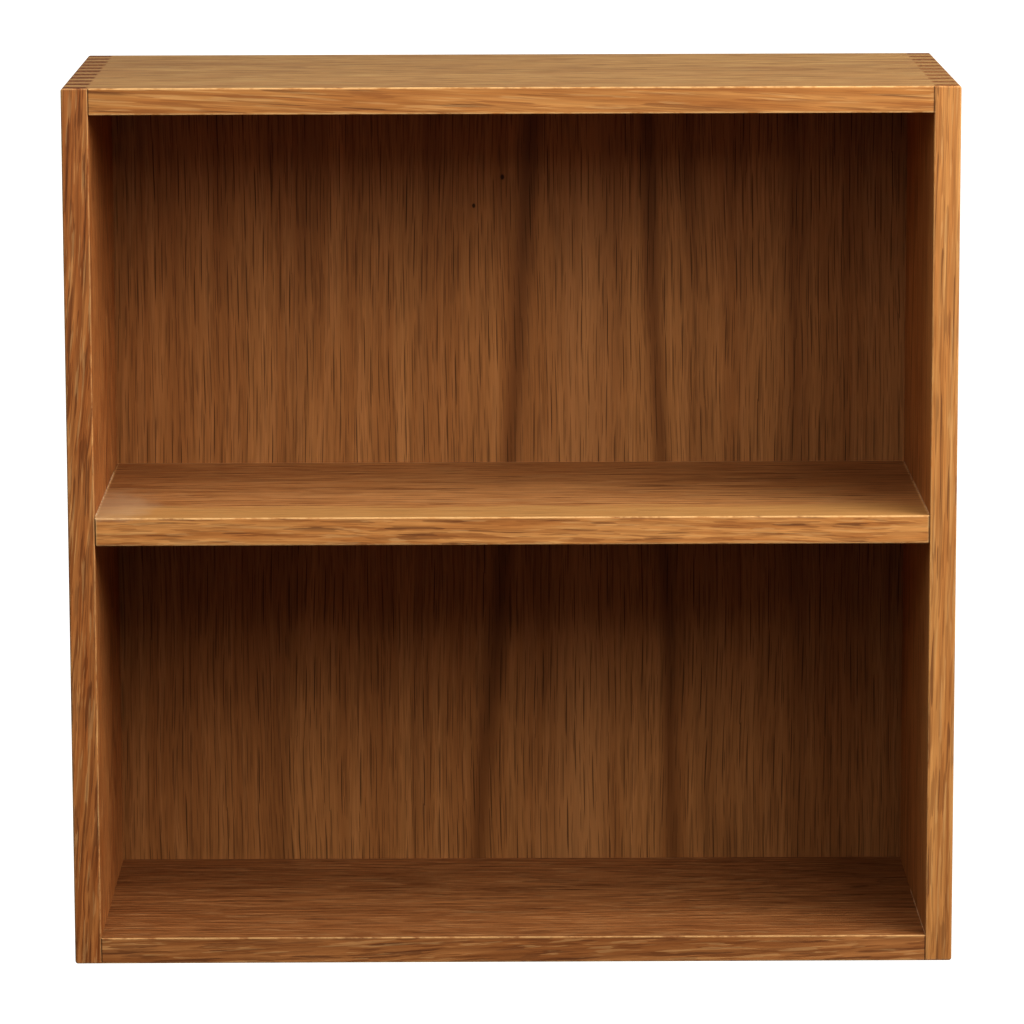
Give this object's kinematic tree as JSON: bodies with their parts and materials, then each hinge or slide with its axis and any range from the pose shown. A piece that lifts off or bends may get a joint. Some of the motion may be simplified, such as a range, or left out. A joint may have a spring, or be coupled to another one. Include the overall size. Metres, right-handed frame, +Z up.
{
  "type": "wall mounted showcase",
  "caption": "Square open wall case in oak with finger-jointed corners, a middle shelf flush with the front, an inset veneered back and a rear rail with keyhole hangers.",
  "frame": {"origin": "on the wall plane, midway between the centres of the two keyhole entry holes, at the rear of the case", "axes": "+X to the right seen from the front, +Y into the wall, +Z up; the open front faces -Y"},
  "size_m": [0.5, 0.21, 0.5],
  "materials": {
    "side_oak": "oiled oak, grain upright",
    "flat_oak": "oiled oak, grain from side to side",
    "shelf_oak": "oiled oak, grain from side to side",
    "oak_veneer": "oiled oak veneer on plywood, grain upright",
    "rail_oak": "planed oak, unfinished",
    "beech": "turned beech, unfinished",
    "zinc_plate": "zinc plated steel, satin",
    "screw_steel": "yellow zinc plated steel, satin"
  },
  "bodies": {
    "root": {"left_side": "side_oak", "right_side": "side_oak", "top_board": "flat_oak", "bottom_board": "flat_oak", "middle_shelf": "shelf_oak", "back_panel": "oak_veneer", "hanging_rail": "rail_oak", "shelf_dowel_left_front": "beech", "shelf_dowel_left_middle": "beech", "shelf_dowel_left_rear": "beech", "rail_dowel_left_upper": "beech", "rail_dowel_left_lower": "beech", "shelf_dowel_right_front": "beech", "shelf_dowel_right_middle": "beech", "shelf_dowel_right_rear": "beech", "rail_dowel_right_upper": "beech", "rail_dowel_right_lower": "beech", "keyhole_plate_left": "zinc_plate", "plate_screw_left_upper": "screw_steel", "plate_screw_left_lower": "screw_steel", "keyhole_plate_right": "zinc_plate", "plate_screw_right_upper": "screw_steel", "plate_screw_right_lower": "screw_steel"}
  },
  "joints": []
}
